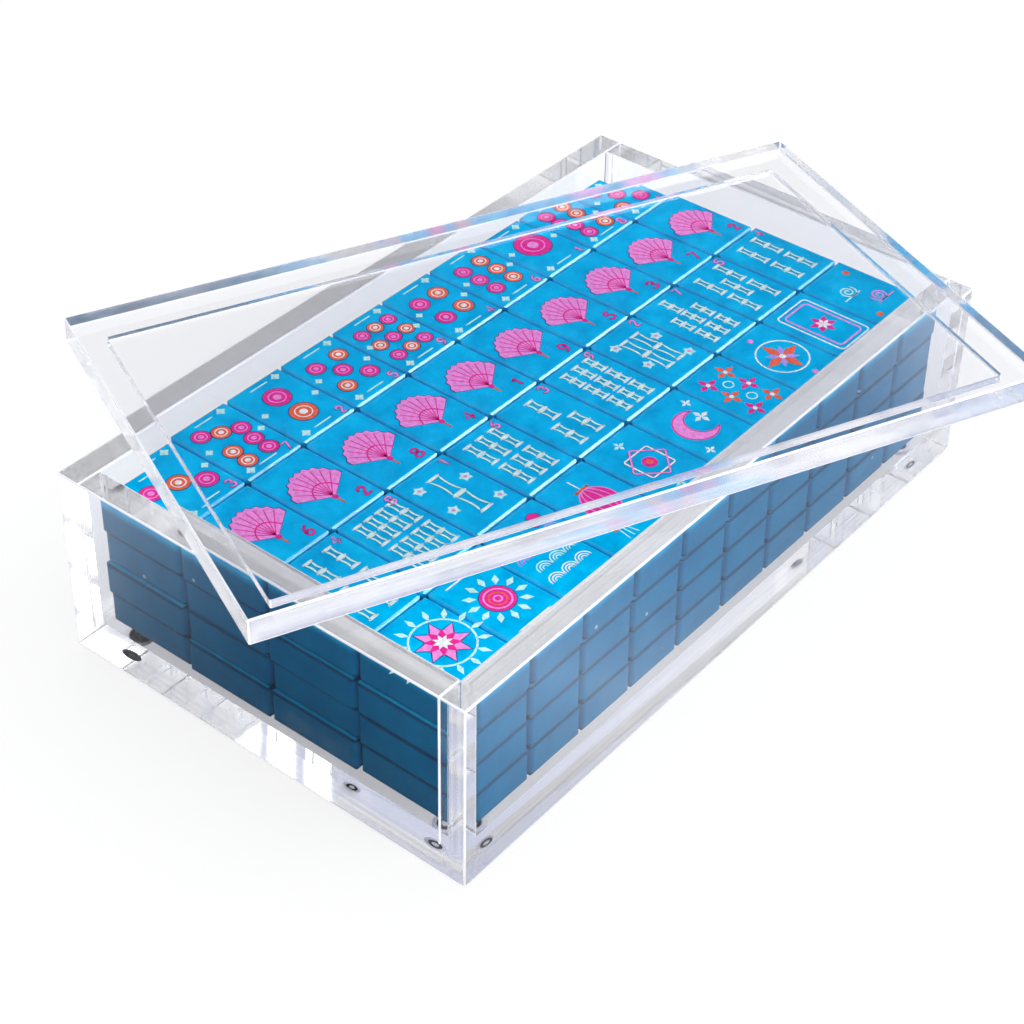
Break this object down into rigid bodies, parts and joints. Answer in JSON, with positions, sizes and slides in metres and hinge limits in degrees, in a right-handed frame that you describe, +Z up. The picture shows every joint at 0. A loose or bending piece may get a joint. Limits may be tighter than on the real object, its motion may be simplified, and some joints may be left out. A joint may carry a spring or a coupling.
{
  "type": "mahjong case",
  "caption": "Clear acrylic box with thick walls and a loose, locating lid set down askew, filled with flat blue tiles in stacked layers.",
  "frame": {"origin": "under the middle of the case, on the surface that its feet stand on", "axes": "+X along the case's long side, +Y across it towards the back wall, +Z up"},
  "size_m": [0.2718, 0.2244, 0.0726],
  "materials": {
    "clear_acrylic": "polished, clear and colourless",
    "foot_rubber": "satin",
    "tile_blue": "gloss, with small engraved and painted motifs"
  },
  "bodies": {
    "case": {"base_plate": "clear_acrylic", "front_wall": "clear_acrylic", "back_wall": "clear_acrylic", "left_wall": "clear_acrylic", "right_wall": "clear_acrylic", "bumper_feet": "foot_rubber", "tiles_layer1_col1": "tile_blue", "tiles_layer1_col2": "tile_blue", "tiles_layer1_col3": "tile_blue", "tiles_layer1_col4": "tile_blue", "tiles_layer2_col1": "tile_blue", "tiles_layer2_col2": "tile_blue", "tiles_layer2_col3": "tile_blue", "tiles_layer2_col4": "tile_blue", "tiles_layer3_col1": "tile_blue", "tiles_layer3_col2": "tile_blue", "tiles_layer3_col3": "tile_blue", "tiles_layer3_col4": "tile_blue"},
    "lid": {"lid_plate": "clear_acrylic", "lid_locating_plate": "clear_acrylic"},
    "tile_row1_col1": {"top_tile_row1_col1": "tile_blue"},
    "tile_row1_col2": {"top_tile_row1_col2": "tile_blue"},
    "tile_row1_col3": {"top_tile_row1_col3": "tile_blue"},
    "tile_row1_col4": {"top_tile_row1_col4": "tile_blue"},
    "tile_row2_col1": {"top_tile_row2_col1": "tile_blue"},
    "tile_row2_col2": {"top_tile_row2_col2": "tile_blue"},
    "tile_row2_col3": {"top_tile_row2_col3": "tile_blue"},
    "tile_row2_col4": {"top_tile_row2_col4": "tile_blue"},
    "tile_row3_col1": {"top_tile_row3_col1": "tile_blue"},
    "tile_row3_col2": {"top_tile_row3_col2": "tile_blue"},
    "tile_row3_col3": {"top_tile_row3_col3": "tile_blue"},
    "tile_row3_col4": {"top_tile_row3_col4": "tile_blue"},
    "tile_row4_col1": {"top_tile_row4_col1": "tile_blue"},
    "tile_row4_col2": {"top_tile_row4_col2": "tile_blue"},
    "tile_row4_col3": {"top_tile_row4_col3": "tile_blue"},
    "tile_row4_col4": {"top_tile_row4_col4": "tile_blue"},
    "tile_row5_col1": {"top_tile_row5_col1": "tile_blue"},
    "tile_row5_col2": {"top_tile_row5_col2": "tile_blue"},
    "tile_row5_col3": {"top_tile_row5_col3": "tile_blue"},
    "tile_row5_col4": {"top_tile_row5_col4": "tile_blue"},
    "tile_row6_col1": {"top_tile_row6_col1": "tile_blue"},
    "tile_row6_col2": {"top_tile_row6_col2": "tile_blue"},
    "tile_row6_col3": {"top_tile_row6_col3": "tile_blue"},
    "tile_row6_col4": {"top_tile_row6_col4": "tile_blue"},
    "tile_row7_col1": {"top_tile_row7_col1": "tile_blue"},
    "tile_row7_col2": {"top_tile_row7_col2": "tile_blue"},
    "tile_row7_col3": {"top_tile_row7_col3": "tile_blue"},
    "tile_row7_col4": {"top_tile_row7_col4": "tile_blue"},
    "tile_row8_col1": {"top_tile_row8_col1": "tile_blue"},
    "tile_row8_col2": {"top_tile_row8_col2": "tile_blue"},
    "tile_row8_col3": {"top_tile_row8_col3": "tile_blue"},
    "tile_row8_col4": {"top_tile_row8_col4": "tile_blue"},
    "tile_row9_col1": {"top_tile_row9_col1": "tile_blue"},
    "tile_row9_col2": {"top_tile_row9_col2": "tile_blue"},
    "tile_row9_col3": {"top_tile_row9_col3": "tile_blue"},
    "tile_row9_col4": {"top_tile_row9_col4": "tile_blue"},
    "tile_row10_col1": {"top_tile_row10_col1": "tile_blue"},
    "tile_row10_col2": {"top_tile_row10_col2": "tile_blue"},
    "tile_row10_col3": {"top_tile_row10_col3": "tile_blue"},
    "tile_row10_col4": {"top_tile_row10_col4": "tile_blue"}
  },
  "joints": [
    {"name": "lid_lift", "type": "slide", "parent": "case", "child": "lid", "axis": [0, 0, 1], "range_m": [0, 0.12]},
    {"name": "tile_row1_col1_lift", "type": "slide", "parent": "case", "child": "tile_row1_col1", "axis": [0, 0, 1], "range_m": [0, 0.0072]},
    {"name": "tile_row1_col2_lift", "type": "slide", "parent": "case", "child": "tile_row1_col2", "axis": [0, 0, 1], "range_m": [0, 0.0072]},
    {"name": "tile_row1_col3_lift", "type": "slide", "parent": "case", "child": "tile_row1_col3", "axis": [0, 0, 1], "range_m": [0, 0.0072]},
    {"name": "tile_row1_col4_lift", "type": "slide", "parent": "case", "child": "tile_row1_col4", "axis": [0, 0, 1], "range_m": [0, 0.0072]},
    {"name": "tile_row2_col1_lift", "type": "slide", "parent": "case", "child": "tile_row2_col1", "axis": [0, 0, 1], "range_m": [0, 0.0072]},
    {"name": "tile_row2_col2_lift", "type": "slide", "parent": "case", "child": "tile_row2_col2", "axis": [0, 0, 1], "range_m": [0, 0.0072]},
    {"name": "tile_row2_col3_lift", "type": "slide", "parent": "case", "child": "tile_row2_col3", "axis": [0, 0, 1], "range_m": [0, 0.0072]},
    {"name": "tile_row2_col4_lift", "type": "slide", "parent": "case", "child": "tile_row2_col4", "axis": [0, 0, 1], "range_m": [0, 0.0072]},
    {"name": "tile_row3_col1_lift", "type": "slide", "parent": "case", "child": "tile_row3_col1", "axis": [0, 0, 1], "range_m": [0, 0.0072]},
    {"name": "tile_row3_col2_lift", "type": "slide", "parent": "case", "child": "tile_row3_col2", "axis": [0, 0, 1], "range_m": [0, 0.0072]},
    {"name": "tile_row3_col3_lift", "type": "slide", "parent": "case", "child": "tile_row3_col3", "axis": [0, 0, 1], "range_m": [0, 0.0072]},
    {"name": "tile_row3_col4_lift", "type": "slide", "parent": "case", "child": "tile_row3_col4", "axis": [0, 0, 1], "range_m": [0, 0.0072]},
    {"name": "tile_row4_col1_lift", "type": "slide", "parent": "case", "child": "tile_row4_col1", "axis": [0, 0, 1], "range_m": [0, 0.0072]},
    {"name": "tile_row4_col2_lift", "type": "slide", "parent": "case", "child": "tile_row4_col2", "axis": [0, 0, 1], "range_m": [0, 0.0072]},
    {"name": "tile_row4_col3_lift", "type": "slide", "parent": "case", "child": "tile_row4_col3", "axis": [0, 0, 1], "range_m": [0, 0.0072]},
    {"name": "tile_row4_col4_lift", "type": "slide", "parent": "case", "child": "tile_row4_col4", "axis": [0, 0, 1], "range_m": [0, 0.0072]},
    {"name": "tile_row5_col1_lift", "type": "slide", "parent": "case", "child": "tile_row5_col1", "axis": [0, 0, 1], "range_m": [0, 0.0072]},
    {"name": "tile_row5_col2_lift", "type": "slide", "parent": "case", "child": "tile_row5_col2", "axis": [0, 0, 1], "range_m": [0, 0.0072]},
    {"name": "tile_row5_col3_lift", "type": "slide", "parent": "case", "child": "tile_row5_col3", "axis": [0, 0, 1], "range_m": [0, 0.0072]},
    {"name": "tile_row5_col4_lift", "type": "slide", "parent": "case", "child": "tile_row5_col4", "axis": [0, 0, 1], "range_m": [0, 0.0072]},
    {"name": "tile_row6_col1_lift", "type": "slide", "parent": "case", "child": "tile_row6_col1", "axis": [0, 0, 1], "range_m": [0, 0.0072]},
    {"name": "tile_row6_col2_lift", "type": "slide", "parent": "case", "child": "tile_row6_col2", "axis": [0, 0, 1], "range_m": [0, 0.0072]},
    {"name": "tile_row6_col3_lift", "type": "slide", "parent": "case", "child": "tile_row6_col3", "axis": [0, 0, 1], "range_m": [0, 0.0072]},
    {"name": "tile_row6_col4_lift", "type": "slide", "parent": "case", "child": "tile_row6_col4", "axis": [0, 0, 1], "range_m": [0, 0.0072]},
    {"name": "tile_row7_col1_lift", "type": "slide", "parent": "case", "child": "tile_row7_col1", "axis": [0, 0, 1], "range_m": [0, 0.0072]},
    {"name": "tile_row7_col2_lift", "type": "slide", "parent": "case", "child": "tile_row7_col2", "axis": [0, 0, 1], "range_m": [0, 0.0072]},
    {"name": "tile_row7_col3_lift", "type": "slide", "parent": "case", "child": "tile_row7_col3", "axis": [0, 0, 1], "range_m": [0, 0.0072]},
    {"name": "tile_row7_col4_lift", "type": "slide", "parent": "case", "child": "tile_row7_col4", "axis": [0, 0, 1], "range_m": [0, 0.0072]},
    {"name": "tile_row8_col1_lift", "type": "slide", "parent": "case", "child": "tile_row8_col1", "axis": [0, 0, 1], "range_m": [0, 0.0072]},
    {"name": "tile_row8_col2_lift", "type": "slide", "parent": "case", "child": "tile_row8_col2", "axis": [0, 0, 1], "range_m": [0, 0.0072]},
    {"name": "tile_row8_col3_lift", "type": "slide", "parent": "case", "child": "tile_row8_col3", "axis": [0, 0, 1], "range_m": [0, 0.0072]},
    {"name": "tile_row8_col4_lift", "type": "slide", "parent": "case", "child": "tile_row8_col4", "axis": [0, 0, 1], "range_m": [0, 0.0072]},
    {"name": "tile_row9_col1_lift", "type": "slide", "parent": "case", "child": "tile_row9_col1", "axis": [0, 0, 1], "range_m": [0, 0.0072]},
    {"name": "tile_row9_col2_lift", "type": "slide", "parent": "case", "child": "tile_row9_col2", "axis": [0, 0, 1], "range_m": [0, 0.0072]},
    {"name": "tile_row9_col3_lift", "type": "slide", "parent": "case", "child": "tile_row9_col3", "axis": [0, 0, 1], "range_m": [0, 0.0072]},
    {"name": "tile_row9_col4_lift", "type": "slide", "parent": "case", "child": "tile_row9_col4", "axis": [0, 0, 1], "range_m": [0, 0.0072]},
    {"name": "tile_row10_col1_lift", "type": "slide", "parent": "case", "child": "tile_row10_col1", "axis": [0, 0, 1], "range_m": [0, 0.0072]},
    {"name": "tile_row10_col2_lift", "type": "slide", "parent": "case", "child": "tile_row10_col2", "axis": [0, 0, 1], "range_m": [0, 0.0072]},
    {"name": "tile_row10_col3_lift", "type": "slide", "parent": "case", "child": "tile_row10_col3", "axis": [0, 0, 1], "range_m": [0, 0.0072]},
    {"name": "tile_row10_col4_lift", "type": "slide", "parent": "case", "child": "tile_row10_col4", "axis": [0, 0, 1], "range_m": [0, 0.0072]}
  ]
}
